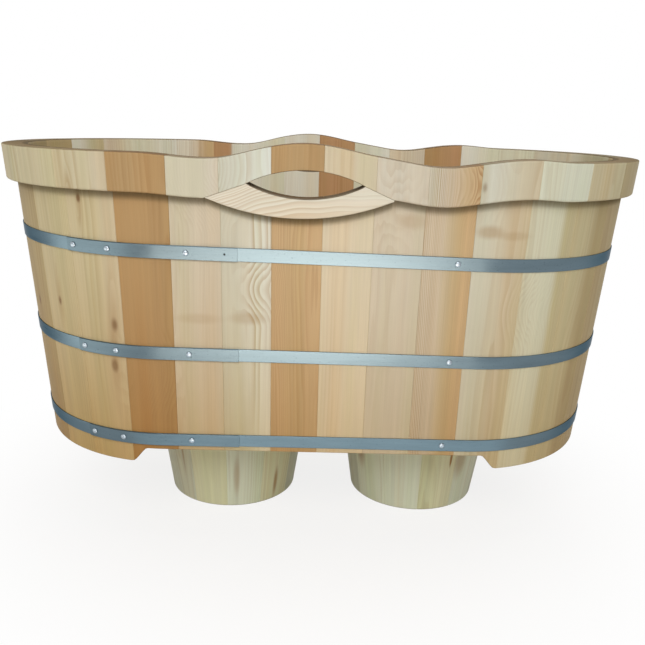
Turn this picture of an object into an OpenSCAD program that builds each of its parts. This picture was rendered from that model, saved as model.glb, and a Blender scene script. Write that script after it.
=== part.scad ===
// Oval stave-built plunge tub on two round pedestals.
// X runs along the tub, -Y is the front, +Z is up. The origin is on the floor, under the middle of the rim.
// Heights of the tub's own pieces are counted from the feet of its end staves, which is where tub_up() puts them.

/* [Tub] */
// Length over the rim
tub_length = 1200; // [1100:5:1400]
// Width over the rim
tub_width = 668; // [600:2:720]
// Height of the rim above the feet of the end staves, away from the handles
tub_height = 548; // [480:1:640]
// Outward lean of the staves, degrees
stave_lean = 4.4; // [2:0.1:6]
// Thickness of a stave below the rim
stave_thick = 28; // [22:1:34]
// Number of staves round the tub
stave_count = 34; // [30:1:35]
// Distance of the first stave joint from the middle of the front
joint_shift = 3; // [-20:1:20]

/* [Rim] */
// How far the rim band stands proud of the staves
rim_proud = 17.5; // [10:0.5:24]
// Height of the rim band
rim_height = 61.5; // [45:0.5:75]
// Rise of the rim over each handle
hump_rise = 20; // [10:1:30]
// Half the length of that rise
hump_reach = 150; // [130:1:180]
// Dip of the rim to the left of the handles
left_dip = 6; // [0:1:14]
// Dip of the rim to the right of the handles
right_dip = 11; // [0:1:16]
// Distance of the lowest point of either dip from the middle of the tub
dip_place = 192; // [180:1:230]
// Half the length of either dip
dip_reach = 105; // [70:1:130]
// Swell of the rim beyond the right dip
swell_rise = 4; // [0:1:8]
// Half the length of that swell
swell_reach = 75; // [50:1:90]

/* [Handles] */
// Middle of each hand opening, along the tub
handle_x = -25; // [-40:1:40]
// Depth of the corners of the hand opening below the rim, away from the handles
handle_drop = 43; // [36:1:58]
// Length of the hand opening
opening_length = 186; // [140:1:200]
// Greatest height of the hand opening
opening_height = 45; // [36:1:54]
// Length of the lip below the opening
lip_length = 300; // [260:2:320]
// Depth of the lip's bow below its tips
lip_bow = 31; // [26:1:40]
// Middle of the lip, from the middle of the opening
lip_shift = -11; // [-15:1:15]

/* [Skirt] */
// Height of the arch cut in the front and back staves
arch_height = 28; // [15:1:40]
// Length of the arch along its top
arch_length = 604; // [560:2:640]
// Run of the sloping shoulder at each end of the arch
arch_shoulder = 22; // [10:1:40]

/* [Hoops] */
// Height of a hoop
hoop_height = 22.4; // [18:0.2:28]
// Thickness of the hoop strip
hoop_thick = 1.8; // [1.2:0.1:3]
// Height of the middle of the bottom hoop
bottom_hoop_z = 49; // [42:1:70]
// Height of the middle of the middle hoop
middle_hoop_z = 211; // [150:1:260]
// Depth of the middle of the top hoop below the rim
top_hoop_drop = 162; // [148:1:180]
// Slant of the middle hoop, degrees, right end down
middle_hoop_slant = 0.5; // [0:0.1:1]
// Slant of the top hoop, degrees, right end down
top_hoop_slant = 1.0; // [0:0.1:1.5]
// Left end of the lapped strip, measured round the tub's foot from the middle of the front
lap_left = -412; // [-460:1:-400]
// Right end of the lapped strip
lap_right = -134; // [-145:1:-128]
// Distance of the first nail from the left end of the lap
lap_margin = 12; // [8:1:20]
// Place of the lap's second nail, measured round the tub's foot
second_nail = -340; // [-350:1:-335]
// Place of the lap's third nail
third_nail = -218; // [-225:1:-200]
// Distance of the empty nail hole from the right end of the top hoop's lap
spare_hole = 21; // [15:1:28]
// Place of the nail to the right of the handle
right_nail = 226; // [210:1:240]
// Radius of a hoop nail's head
nail_head_r = 5; // [3:0.5:7]
// Radius of a hoop nail's shank
nail_r = 2; // [1.5:0.1:2.5]
// Depth of a hoop nail in the stave
nail_depth = 14; // [8:1:18]

/* [Floor] */
// Height of the underside of the floor
floor_z = 52; // [46:1:70]
// Thickness of the floor boards
floor_thick = 22; // [18:1:28]
// Depth of the groove that holds the floor in the staves
groove_depth = 8; // [5:1:12]
// Number of floor boards
board_count = 5; // [4:1:6]
// Reach of the tongue between two floor boards
tongue = 7; // [4:1:10]
// Thickness of the tongue
tongue_thick = 7; // [5:0.5:9]
// Play of the floor in its groove, at each edge
floor_play = 0.2; // [0.1:0.05:0.5]
// Gap between two floor boards
board_gap = 0.1; // [0.05:0.05:0.5]
// Width of a batten under the floor
batten_width = 70; // [50:1:100]
// Thickness of a batten
batten_thick = 24; // [18:1:30]
// Gap between a batten's end and the staves
batten_gap = 3; // [1:0.5:8]
// Radius of a batten screw's shank
screw_r = 2.25; // [1.75:0.25:3]
// Radius of a batten screw's head
screw_head_r = 4.5; // [4:0.25:6]
// Length of a batten screw
screw_length = 38; // [34:1:42]

/* [Pedestals] */
// Height of a pedestal
pedestal_height = 190; // [150:1:220]
// Radius of a pedestal at the floor
pedestal_foot_r = 130; // [110:1:140]
// Growth of the radius per millimetre of height
pedestal_flare = 0.15; // [0:0.01:0.16]
// Distance between the middles of the two pedestals
pedestal_spacing = 387; // [370:1:410]
// Middle of the pair, to the right of the tub's middle
pedestal_shift = 20; // [-30:1:30]
// Thickness of a pedestal's staves
pedestal_wall = 26; // [20:1:32]
// Number of staves in a pedestal
pedestal_staves = 12; // [10:1:16]
// Glue line between two of them
glue_line = 0.05; // [0.04:0.01:0.1]
// Thickness of the board let into the top of a pedestal
pedestal_top_thick = 22; // [16:1:30]

/* [Drain] */
// Outer radius of the drain's body, where it passes the floor and the lock nut
body_r = 22; // [21:0.5:25]
// Outer radius of its tail pipe
tail_r = 20; // [19:0.5:20.5]
// Wall of the tail pipe
tail_wall = 2.5; // [2:0.25:4]
// Length of the tail pipe below the floor
tail_length = 77; // [65:1:90]
// Radius of the drain's flange
flange_r = 36; // [33:0.5:42]
// Thickness of the flange
flange_thick = 3; // [2:0.5:5]
// Thickness of the gaskets above and below the floor
gasket_thick = 2; // [1:0.5:3]
// Play of the drain's body in the floor
body_play = 0.5; // [0.2:0.1:1]
// Length of the body that shows below the lock nut
body_show = 2; // [1:0.5:5]
// Width of the lock nut across its flats
nut_flats = 62; // [56:1:66]
// Thickness of the lock nut
nut_thick = 11; // [8:1:14]
// Radius of the stopper's stem
stem_r = 3; // [2.5:0.25:4]
// Running play between the stem and its guide, on the radius
stem_play = 0.05; // [0.02:0.01:0.1]
// Radius of the stem's guide
guide_r = 7; // [6:0.5:9]
// Length of the stem's guide
guide_length = 12; // [8:1:20]
// Travel of the stopper
stopper_travel = 12; // [8:1:16]
// Radius of the stopper
stopper_r = 30; // [27:0.5:32]
// Thickness of the stopper's rubber ring
seal_thick = 2.5; // [2:0.25:4]
// Radius of the stopper's knob
knob_r = 8; // [6:0.5:10]

/* [Hidden] */
STAVE_NODES = [for (i = [1 : stave_count]) stave_name(i)];
BOARD_NODES = [for (i = [1 : board_count]) str("floor_board_", i)];
HOOPS = ["bottom", "middle", "top"];
HOOP_NODES = [for (h = HOOPS) str(h, "_hoop")];
SIDES = ["left", "right"];

$fn = 96;
eps = 1;

// The plan is a straight side between two half circles
side_half = (tub_length - tub_width) / 2;
lean = tan(stave_lean);
foot_r = wall_r(0);
quarter_1 = side_half;
quarter_2 = quarter_1 + PI * foot_r;
quarter_3 = quarter_2 + 2 * side_half;
quarter_4 = quarter_3 + PI * foot_r;
girth = quarter_4 + side_half;
stave_pitch = girth / stave_count;
far = tub_width;
core = foot_r / 2;
crown_z = tub_height + hump_rise + swell_rise + eps;

// The floor sits in its groove on battens, and the battens on the pedestals
groove_r = wall_r(floor_z + floor_thick / 2) - stave_thick + groove_depth;
board_width = 2 * (groove_r - floor_play) / board_count;
batten_z = floor_z - batten_thick;
tub_foot_z = pedestal_height - batten_z;
pedestals_x = [pedestal_shift - pedestal_spacing / 2, pedestal_shift + pedestal_spacing / 2];

// The wave of the rim
left_dip_x = -dip_place;
right_dip_x = dip_place;
swell_x = dip_place + dip_reach + swell_reach / 2;
wave_left = left_dip_x - dip_reach;
wave_right = swell_x + swell_reach;
wave_step = 9;
corner_half = opening_length / 2;
handle_z = tub_height - handle_drop;
lip_x = handle_x + lip_shift;
lip_half = lip_length / 2;
breaks = [lip_x - lip_half, handle_x - corner_half, handle_x + corner_half, lip_x + lip_half];

// Hoops and their nails, each nail placed round the foot of the tub
hoop_z = [bottom_hoop_z, middle_hoop_z, tub_height - top_hoop_drop];
hoop_slant = [0, middle_hoop_slant, top_hoop_slant];
nail_spots = [lap_left + lap_margin, second_nail, third_nail, right_nail];
nail_head_rise = nail_head_r / 2;

// The drain, between the two pedestals
drain_x = pedestal_shift;
flange_z = floor_z + floor_thick + gasket_thick;
flange_top = flange_z + flange_thick;
washer_z = floor_z - gasket_thick;
nut_z = washer_z - nut_thick;
tail_top = nut_z - body_show;
tail_bore = tail_r - tail_wall;
guide_top = floor_z + floor_thick / 2;
guide_foot = guide_top - guide_length;
stop_gap = 0.3;
clip_top = guide_foot - stopper_travel - stop_gap;
clip_thick = 2;
clip_grip = 2.5;
rubber_inset = 1;
stem_foot = clip_top - 2 * clip_thick;
stopper_z = flange_top + seal_thick;
cap_edge = 3;
cap_crown = 4;
rib_thick = 3;
rib_start = (stem_r + guide_r) / 2;
knob_neck = 5;

function stave_name(i) = str("stave_", i < 10 ? "0" : "", i);
function wall_r(z) = tub_width / 2 - rim_proud - (tub_height - z) * lean;

// A place u is a distance round the foot of the tub, to the right from the middle of the front
function round_u(u) = u - girth * floor(u / girth);
function axis_x(u) = let (v = round_u(u))
    v <= quarter_1 ? v
    : v <= quarter_2 ? side_half
    : v <= quarter_3 ? side_half - (v - quarter_2)
    : v <= quarter_4 ? -side_half
    : v - girth;
function facing(u) = let (v = round_u(u))
    v <= quarter_1 ? -90
    : v <= quarter_2 ? -90 + (v - quarter_1) / foot_r * 180 / PI
    : v <= quarter_3 ? 90
    : v <= quarter_4 ? 90 + (v - quarter_3) / foot_r * 180 / PI
    : 270;
function spot(u, r) = [axis_x(u) + r * cos(facing(u)), r * sin(facing(u))];

// A smooth bump of height 1 and half length 1
function bump(t) = abs(t) < 1 ? (1 + cos(180 * t)) / 2 : 0;
function rim_top(x) = tub_height
    + hump_rise * bump((x - handle_x) / hump_reach)
    - left_dip * bump((x - left_dip_x) / dip_reach)
    - right_dip * bump((x - right_dip_x) / dip_reach)
    + swell_rise * bump((x - swell_x) / swell_reach);
function between(x, x0, z0, x1, z1) = z0 + (z1 - z0) * (x - x0) / (x1 - x0);
function tip_z(x) = rim_top(x) - rim_height;
// Underside of the rim band, which climbs from the tips of the lip to the corners of the opening
function rim_under(x) =
    x <= breaks[0] || x >= breaks[3] ? tip_z(x)
    : x < breaks[1] ? between(x, breaks[0], tip_z(breaks[0]), breaks[1], handle_z)
    : x > breaks[2] ? between(x, breaks[2], handle_z, breaks[3], tip_z(breaks[3]))
    : handle_z;
function wave_xs(x0, x1) = [
    for (k = [floor(x0 / wave_step) - 1 : ceil(x1 / wave_step) + 1])
        each concat([k * wave_step], [for (b = breaks) if (b > k * wave_step && b < (k + 1) * wave_step) b])
];

module tub_up() translate([0, 0, tub_foot_z]) children();

// The tub's leaning outline grown by a distance, between two heights
module outline(grow, z0, z1) {
    for (side = [-1, 1])
        translate([side * side_half, 0, z0]) cylinder(h = z1 - z0, r1 = wall_r(z0) + grow, r2 = wall_r(z1) + grow);
    straight_sides(grow, z0, z1);
}

module straight_sides(grow, z0, z1) {
    low = wall_r(z0) + grow;
    high = wall_r(z1) + grow;
    translate([-side_half, 0, 0]) rotate([90, 0, 90]) linear_extrude(2 * side_half)
        polygon([[-low, z0], [low, z0], [high, z1], [-high, z1]]);
}

// The tub's plan at one radius, straight up
module plan(r, z0, z1) {
    for (side = [-1, 1])
        translate([side * side_half, 0, z0]) cylinder(h = z1 - z0, r = r);
    translate([-side_half, -r, z0]) cube([2 * side_half, 2 * r, z1 - z0]);
}

// Everything between two places round the tub
module sector(u0, u1, z0, z1) {
    bends = [
        for (turn = [-girth, 0, girth], q = [quarter_1, quarter_2, quarter_3, quarter_4])
            if (q + turn > u0 && q + turn < u1) q
    ];
    us = concat([u0], bends, [u1]);
    translate([0, 0, z0]) linear_extrude(z1 - z0)
        polygon(concat([for (u = us) spot(u, far)], [for (k = [len(us) - 1 : -1 : 0]) spot(us[k], core)]));
}

// A profile drawn in X and Z, carried right through the tub
module through(y0, y1) translate([0, y1, 0]) rotate([90, 0, 0]) linear_extrude(y1 - y0) children();

// What lies over the rim, and what lies under its band, at the given places along the tub
module above_rim(xs) through(-far, far)
    polygon(concat([for (x = xs) [x, rim_top(x)]], [[xs[len(xs) - 1], far * 2], [xs[0], far * 2]]));

module below_rim(xs) through(-far, far)
    polygon(concat([for (x = xs) [x, rim_under(x)]], [[xs[len(xs) - 1], -eps], [xs[0], -eps]]));

// The eye-shaped hand opening, where two equal arcs cross
module eye() {
    rise = opening_height / 2;
    arc_r = (corner_half * corner_half + rise * rise) / (2 * rise);
    translate([handle_x, handle_z]) intersection() {
        translate([0, rise - arc_r]) circle(r = arc_r, $fn = 180);
        translate([0, arc_r - rise]) circle(r = arc_r, $fn = 180);
    }
}

module hand_openings() {
    through(-far, -core) eye();
    through(core, far) eye();
}

module arch() {
    half = arch_length / 2;
    foot = half + arch_shoulder;
    through(-far, far) polygon([[-foot, -eps], [foot, -eps], [foot, 0], [half, arch_height], [-half, arch_height], [-foot, 0]]);
}

// Puts its children on the outside of the wall, at a place round the tub and a hoop's height
module at_nail(h, u) {
    x = spot(u, foot_r)[0];
    z = hoop_z[h] - x * tan(hoop_slant[h]);
    p = spot(u, wall_r(z));
    translate([p[0], p[1], z]) rotate([0, 0, facing(u)]) rotate([0, 90 + stave_lean, 0]) children();
}

function nail_seat(u) = u > lap_left && u < lap_right ? 2 * hoop_thick : hoop_thick;

module nail_holes() {
    for (h = [0 : len(hoop_z) - 1], u = nail_spots)
        at_nail(h, u) translate([0, 0, -nail_depth]) cylinder(h = nail_depth + 3 * hoop_thick, r = nail_r, $fn = 24);
}

function near_nail(u0, u1) = len([
    for (u = nail_spots, turn = [0, girth]) if (u + turn > u0 - 2 * nail_r && u + turn < u1 + 2 * nail_r) u
]) > 0;

module stave(i) {
    u0 = joint_shift + (i - 1) * stave_pitch;
    u1 = u0 + stave_pitch;
    reach = [for (u = [u0, u1], r = [core, tub_width / 2]) spot(u, r)[0]];
    x0 = min(reach);
    x1 = max(reach);
    waved = x0 < wave_right && x1 > wave_left;
    xs = waved ? wave_xs(x0, x1) : [x0 - wave_step, x1 + wave_step];
    eyed = x0 < breaks[2] && x1 > breaks[1];
    arched = abs(x0 + x1) / 2 < arch_length / 2 + stave_pitch;
    color(["peru", "burlywood", "wheat"][i % 3]) tub_up() difference() {
        intersection() {
            outline(rim_proud, 0, crown_z);
            sector(u0, u1, 0, crown_z);
        }
        outline(-stave_thick, -eps, crown_z + eps);
        plan(groove_r, floor_z, floor_z + floor_thick);
        above_rim(xs);
        difference() {
            below_rim(xs);
            outline(0, -2 * eps, crown_z);
        }
        if (arched) arch();
        if (eyed) hand_openings();
        if (near_nail(u0, u1)) nail_holes();
    }
}

module hoop(h) color("slategray") tub_up() difference() {
    intersection() {
        translate([0, 0, hoop_z[h]]) rotate([0, hoop_slant[h], 0])
            cube([2 * tub_length, 2 * tub_width, hoop_height], center = true);
        union() {
            outline(hoop_thick, 0, tub_height);
            intersection() {
                outline(2 * hoop_thick, 0, tub_height);
                sector(lap_left, lap_right, 0, tub_height);
            }
        }
    }
    outline(0, -eps, tub_height + eps);
    nail_holes();
    if (h == len(hoop_z) - 1) at_nail(h, lap_right - spare_hole)
        translate([0, 0, -eps]) cylinder(h = 4 * hoop_thick, r = nail_r, $fn = 24);
}

module hoop_nails() color("lightgray") tub_up()
    for (h = [0 : len(hoop_z) - 1], u = nail_spots) at_nail(h, u) {
        dome_r = (nail_head_r * nail_head_r + nail_head_rise * nail_head_rise) / (2 * nail_head_rise);
        translate([0, 0, -nail_depth]) cylinder(h = nail_depth + nail_seat(u), r = nail_r, $fn = 24);
        translate([0, 0, nail_seat(u)]) intersection() {
            translate([0, 0, nail_head_rise - dome_r]) sphere(r = dome_r, $fn = 48);
            cylinder(h = nail_head_r, r = nail_head_r, $fn = 24);
        }
    }

// The lip closes the opening from below, flush with the rim band
module front_lip() {
    tips_z = (tip_z(breaks[0]) + tip_z(breaks[3])) / 2;
    bow_r = (lip_half * lip_half + lip_bow * lip_bow) / (2 * lip_bow);
    low = tips_z - lip_bow - eps;
    intersection() {
        translate([breaks[0], 0, 0]) rotate([90, 0, 90]) linear_extrude(lip_length) polygon([
            [-wall_r(low), low],
            [-wall_r(handle_z), handle_z],
            [-wall_r(handle_z) - rim_proud, handle_z],
            [-wall_r(low) - rim_proud, low]
        ]);
        through(-far, 0) difference() {
            intersection() {
                polygon([
                    [breaks[0], tip_z(breaks[0])], [breaks[1], handle_z],
                    [breaks[2], handle_z], [breaks[3], tip_z(breaks[3])],
                    [breaks[3], low], [breaks[0], low]
                ]);
                translate([lip_x, tips_z - lip_bow + bow_r]) circle(r = bow_r, $fn = 240);
            }
            eye();
        }
    }
}

module front_handle_lip() color("wheat") tub_up() front_lip();

module back_handle_lip() color("wheat") tub_up() mirror([0, 1, 0]) front_lip();

// Tongue-and-groove boards along the tub
module floor_board(i) {
    y0 = (i - 1 - board_count / 2) * board_width;
    y1 = y0 + board_width;
    tongue_low = floor_z + (floor_thick - tongue_thick) / 2;
    color(i % 2 == 0 ? "burlywood" : "wheat") tub_up() difference() {
        intersection() {
            plan(groove_r - floor_play, floor_z, floor_z + floor_thick);
            union() {
                translate([-tub_length, y0, floor_z]) cube([2 * tub_length, board_width - board_gap, floor_thick]);
                if (i < board_count)
                    translate([-tub_length, y0, tongue_low]) cube([2 * tub_length, board_width + tongue, tongue_thick]);
            }
        }
        if (i > 1)
            translate([-tub_length, y0 - eps, tongue_low])
                cube([2 * tub_length, tongue + floor_play + eps, tongue_thick]);
        translate([drain_x, 0, 0]) cylinder(h = crown_z, r = body_r + body_play);
        batten_screw_set();
    }
}

module batten(side) color("tan") tub_up() difference() {
    intersection() {
        translate([pedestals_x[side] - batten_width / 2, -tub_width / 2, batten_z])
            cube([batten_width, tub_width, batten_thick]);
        plan(wall_r(batten_z) - stave_thick - batten_gap, batten_z, floor_z);
    }
    batten_screw_set();
}

// One countersunk screw through each batten into each board
module batten_screw_set() {
    for (x = pedestals_x, i = [1 : board_count])
        translate([x, (i - 0.5 - board_count / 2) * board_width, batten_z]) {
            cylinder(h = screw_length, r = screw_r, $fn = 24);
            cylinder(h = screw_head_r - screw_r, r1 = screw_head_r, r2 = screw_r, $fn = 24);
        }
}

module batten_screws() color("silver") tub_up() batten_screw_set();

function pedestal_r(z) = pedestal_foot_r + z * pedestal_flare;

module pedestal_outline(side, grow, z0, z1) translate([pedestals_x[side], 0, z0])
    cylinder(h = z1 - z0, r1 = pedestal_r(z0) + grow, r2 = pedestal_r(z1) + grow);

module pedestal_stave_ring(side) color("burlywood") difference() {
    pedestal_outline(side, 0, 0, pedestal_height);
    pedestal_outline(side, -pedestal_wall, -eps, pedestal_height + eps);
    for (k = [0 : pedestal_staves - 1])
        translate([pedestals_x[side], 0, -eps]) rotate([0, 0, k * 360 / pedestal_staves])
            translate([0, -glue_line / 2, 0]) cube([far, glue_line, pedestal_height + 2 * eps]);
}

module pedestal_top(side) color("wheat")
    pedestal_outline(side, -pedestal_wall, pedestal_height - pedestal_top_thick, pedestal_height);

module ring(outer_r, inner_r, z0, z1) difference() {
    translate([0, 0, z0]) cylinder(h = z1 - z0, r = outer_r);
    translate([0, 0, z0 - eps]) cylinder(h = z1 - z0 + 2 * eps, r = inner_r);
}

module at_drain() tub_up() translate([drain_x, 0, 0]) children();

// Flange, body and tail pipe in one turned piece, with the three-ribbed guide for the stem
module drain_body() color("silver") at_drain() difference() {
    union() {
        rotate_extrude() polygon([
            [tail_bore, floor_z - tail_length], [tail_r, floor_z - tail_length],
            [tail_r, tail_top], [body_r, tail_top],
            [body_r, flange_z], [flange_r, flange_z],
            [flange_r, flange_top], [tail_bore, flange_top]
        ]);
        translate([0, 0, guide_foot]) cylinder(h = guide_length, r = guide_r);
        for (k = [0 : 2])
            rotate([0, 0, 60 + k * 120]) translate([rib_start, -rib_thick / 2, guide_foot])
                cube([tail_r - tail_wall / 2 - rib_start, rib_thick, guide_length]);
    }
    translate([0, 0, guide_foot - eps]) cylinder(h = guide_length + 2 * eps, r = stem_r + stem_play);
}

module drain_gasket() color("dimgray") at_drain()
    ring(flange_r - rubber_inset, body_r + body_play, floor_z + floor_thick, flange_z);

module drain_washer() color("dimgray") at_drain()
    ring(nut_flats / 2, body_r + body_play, washer_z, floor_z);

module drain_nut() color("silver") at_drain() difference() {
    translate([0, 0, nut_z]) cylinder(h = nut_thick, r = nut_flats / 2 / cos(30), $fn = 6);
    translate([0, 0, nut_z - eps]) cylinder(h = nut_thick + 2 * eps, r = body_r);
}

module stopper() color("gainsboro") at_drain() {
    translate([0, 0, stem_foot]) cylinder(h = stopper_z - stem_foot + cap_edge, r = stem_r);
    translate([0, 0, stopper_z]) cylinder(h = cap_edge, r = stopper_r);
    translate([0, 0, stopper_z + cap_edge]) cylinder(h = cap_crown, r1 = stopper_r, r2 = knob_r);
    translate([0, 0, stopper_z + cap_edge]) cylinder(h = cap_crown + knob_neck + knob_r, r = knob_r / 2);
    translate([0, 0, stopper_z + cap_edge + cap_crown + knob_neck + knob_r / 2]) sphere(r = knob_r);
}

// Keeps the stem from leaving its guide
module stopper_clip() color("gray") at_drain() ring(stem_r + clip_grip, stem_r, clip_top - clip_thick, clip_top);

module stopper_seal() color("black") at_drain() ring(stopper_r - rubber_inset, stem_r, flange_top, stopper_z);

for (i = [1 : stave_count]) stave(i);
for (h = [0 : len(HOOPS) - 1]) hoop(h);
hoop_nails();
front_handle_lip();
back_handle_lip();
for (i = [1 : board_count]) floor_board(i);
for (side = [0, 1]) batten(side);
batten_screws();
for (side = [0, 1]) pedestal_stave_ring(side);
for (side = [0, 1]) pedestal_top(side);
drain_body();
drain_gasket();
drain_washer();
drain_nut();
stopper();
stopper_clip();
stopper_seal();
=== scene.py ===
"""Oval stave-built plunge tub on two round pedestals: its dressed pieces and the stage it stands on.

Lengths are in metres. X runs along the tub, -Y is the front, +Z is up, and the floor is at z = 0.
Heights of the tub's own pieces count from the feet of its end staves, which stand FOOT_Z above the floor.
A place u is a distance round the foot of the tub, to the right from the middle of the front.
"""

import math

import bpy
import numpy as np
from bpy.props import FloatProperty, FloatVectorProperty, PointerProperty
from bpy.types import Operator, Panel, PropertyGroup
from mathutils import Matrix, Vector


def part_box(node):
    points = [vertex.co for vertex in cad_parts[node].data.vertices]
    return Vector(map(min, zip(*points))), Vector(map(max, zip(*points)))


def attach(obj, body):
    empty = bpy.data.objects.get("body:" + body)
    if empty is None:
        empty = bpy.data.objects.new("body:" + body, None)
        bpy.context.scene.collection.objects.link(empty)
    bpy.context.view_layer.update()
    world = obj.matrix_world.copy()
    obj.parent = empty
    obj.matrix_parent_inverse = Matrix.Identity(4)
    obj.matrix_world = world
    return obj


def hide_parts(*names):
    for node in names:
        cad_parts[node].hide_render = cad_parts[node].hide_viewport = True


bl_info = {
    "name": "Stave plunge tub",
    "version": (1, 0, 0),
    "blender": (4, 5, 0),
    "location": "3D View > Sidebar > Tub",
    "description": "Builds the finished pieces of an oval stave-built plunge tub and its stage",
    "category": "Add Mesh",
}

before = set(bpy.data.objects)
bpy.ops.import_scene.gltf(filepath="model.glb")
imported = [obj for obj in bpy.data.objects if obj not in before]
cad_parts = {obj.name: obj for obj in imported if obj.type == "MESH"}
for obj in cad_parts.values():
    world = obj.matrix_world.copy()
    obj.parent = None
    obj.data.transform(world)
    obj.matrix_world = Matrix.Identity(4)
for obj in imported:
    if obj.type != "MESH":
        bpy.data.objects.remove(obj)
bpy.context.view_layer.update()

# ---- The tub's own measures ----

FOOT_Z = 0.162
SIDE_HALF = 0.266
HEIGHT = 0.548
LEAN_ANGLE = math.radians(4.4)
LEAN = math.tan(LEAN_ANGLE)
PROUD = 0.0175
BAND = 0.0615
STAVE = 0.028
FACE_R = 0.334 - PROUD
FOOT_R = FACE_R - HEIGHT * LEAN
STAVES = 34
JOINT_SHIFT = 0.003
HANDLE_X, HANDLE_Z = -0.025, 0.505
# A hump over the handles, a dip on each side and a swell past the right dip: rise, middle and half length
RIM_WAVE = ((0.020, HANDLE_X, 0.150), (-0.006, -0.192, 0.105), (-0.011, 0.192, 0.105), (0.004, 0.3345, 0.075))
EYE_HALF, EYE_RISE = 0.093, 0.0225
LIP_X, LIP_HALF, LIP_BOW, LIP_LEAST = -0.036, 0.150, 0.031, 0.0006
LIP_LEFT, LIP_RIGHT = LIP_X - LIP_HALF, LIP_X + LIP_HALF
EYE_LEFT, EYE_RIGHT = HANDLE_X - EYE_HALF, HANDLE_X + EYE_HALF
ARCH_HALF, ARCH_RUN, ARCH_RISE, ARCH_SOFT = 0.302, 0.022, 0.028, 0.004
FLOOR_Z, FLOOR_THICK, FLOOR_BOARDS, FLOOR_PLAY, GROOVE = 0.052, 0.022, 5, 0.0002, 0.008
# Height of each hoop's middle line and its slant in degrees, then the places of the lap and of the nails
HOOPS = {"bottom_hoop": (0.049, 0.0), "middle_hoop": (0.211, 0.5), "top_hoop": (0.386, 1.0)}
HOOP_TALL, HOOP_THICK = 0.0224, 0.0018
LAP = (-0.412, -0.134)
NAILS = (-0.400, -0.340, -0.218, 0.226)
SPARE_HOLE = LAP[1] - 0.021
# A hoop's upper layer: how far it sinks into the lower one, how much lower it hangs, and its mark
LAP_SINK, LAP_DROP, UPPER_LAYER = 0.0001, 0.0004, 5.0
PEDESTALS = {"left": -0.1735, "right": 0.2135}
PEDESTAL_TALL, PEDESTAL_R, PEDESTAL_FLARE, PEDESTAL_WALL, PEDESTAL_STAVES = 0.190, 0.130, 0.15, 0.026, 12
PEDESTAL_MEAN_R = 0.145
DRAIN_X, KNOB_R = 0.020, 0.008
# How far beyond a rounding a point holds the face flat to the light, as a share of the rounding's radius
HOLD = 0.5

# The photograph's view: place, yaw, pitch and roll, and focal length and width in the picture's points
VIEW_PLACE = (-0.00863, -1.51766, 0.60949 + FOOT_Z)
VIEW_TURNS = (0.01308, 0.26696, 0.02825)
VIEW_FOCAL, VIEW_WIDTH, SENSOR = 754.433, 645, 36.0

# Places where the foot's outline changes between straight and round, its length, and a stave's share of it
QUARTERS = (
    SIDE_HALF,
    SIDE_HALF + math.pi * FOOT_R,
    3 * SIDE_HALF + math.pi * FOOT_R,
    3 * SIDE_HALF + 2 * math.pi * FOOT_R,
)
GIRTH = QUARTERS[3] + SIDE_HALF
PITCH = GIRTH / STAVES


def face_r(z):
    """Radius of the wall's outside face: it grows by the lean's tangent with height."""
    return FACE_R - (HEIGHT - z) * LEAN


def by_quarter(v, *rules):
    """Picks each place's rule: front from the middle, right end, back, left end, front up to the middle."""
    return np.select([v <= quarter for quarter in QUARTERS], rules[:4], rules[4])


def facing(u):
    """The way the wall faces at u, in radians: -90 degrees in front, 90 at the back, turning at the ends."""
    v = np.mod(u, GIRTH)
    half = math.pi / 2
    right_end, left_end = (v - QUARTERS[0]) / FOOT_R, (v - QUARTERS[2]) / FOOT_R
    return by_quarter(v, -half + 0 * v, -half + right_end, half + 0 * v, half + left_end, 3 * half)


def around(u, r):
    """x and y at place u and radius r: a point on the tub's long middle line, plus r along the facing."""
    v = np.mod(u, GIRTH)
    axis = by_quarter(v, v, SIDE_HALF + 0 * v, SIDE_HALF - (v - QUARTERS[1]), -SIDE_HALF + 0 * v, v - GIRTH)
    turn = facing(u)
    return axis + r * np.cos(turn), r * np.sin(turn)


def bump(t):
    """A raised cosine: 1 in the middle and 0 from one half length out."""
    return np.where(np.abs(t) < 1, (1 + np.cos(np.pi * np.clip(t, -1, 1))) / 2, 0)


def rim_top(x):
    """Plain height plus the humps and dips of the rim's wave."""
    return HEIGHT + sum(rise * bump((x - middle) / half) for rise, middle, half in RIM_WAVE)


def rim_under(x):
    """The band's height below the top, but straight lines climb from the lip's tips to the eye's corners."""
    tips = [rim_top(np.array(p)) - BAND for p in (LIP_LEFT, LIP_RIGHT)]
    line = np.interp(x, [LIP_LEFT, EYE_LEFT, EYE_RIGHT, LIP_RIGHT], [tips[0], HANDLE_Z, HANDLE_Z, tips[1]])
    return np.where((x > LIP_LEFT) & (x < LIP_RIGHT), line, rim_top(x) - BAND)


def eye_half(x):
    """Half the height of the hand opening: a circle's arc above the chord through its corners."""
    arc = (EYE_HALF**2 + EYE_RISE**2) / (2 * EYE_RISE)
    return np.maximum(np.sqrt(np.maximum(arc**2 - (x - HANDLE_X) ** 2, 0)) - (arc - EYE_RISE), 0)


def eye_over(x):
    """The eye's upper edge: the height of its corners plus half its height."""
    return HANDLE_Z + eye_half(x)


def eye_under(x):
    """The eye's lower edge: the height of its corners less half its height."""
    return HANDLE_Z - eye_half(x)


def lip_top(x):
    """The eye's lower edge between its corners, and the band's underside beyond them."""
    return np.where(np.abs(x - HANDLE_X) < EYE_HALF, eye_under(x), rim_under(x))


def lip_low(x):
    """A circle's arc that bows below the line between the tips."""
    tips = float(rim_top(np.array(LIP_LEFT)) + rim_top(np.array(LIP_RIGHT))) / 2 - BAND
    arc = (LIP_HALF**2 + LIP_BOW**2) / (2 * LIP_BOW)
    return tips - LIP_BOW + arc - np.sqrt(np.maximum(arc**2 - (x - LIP_X) ** 2, 0))


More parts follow.
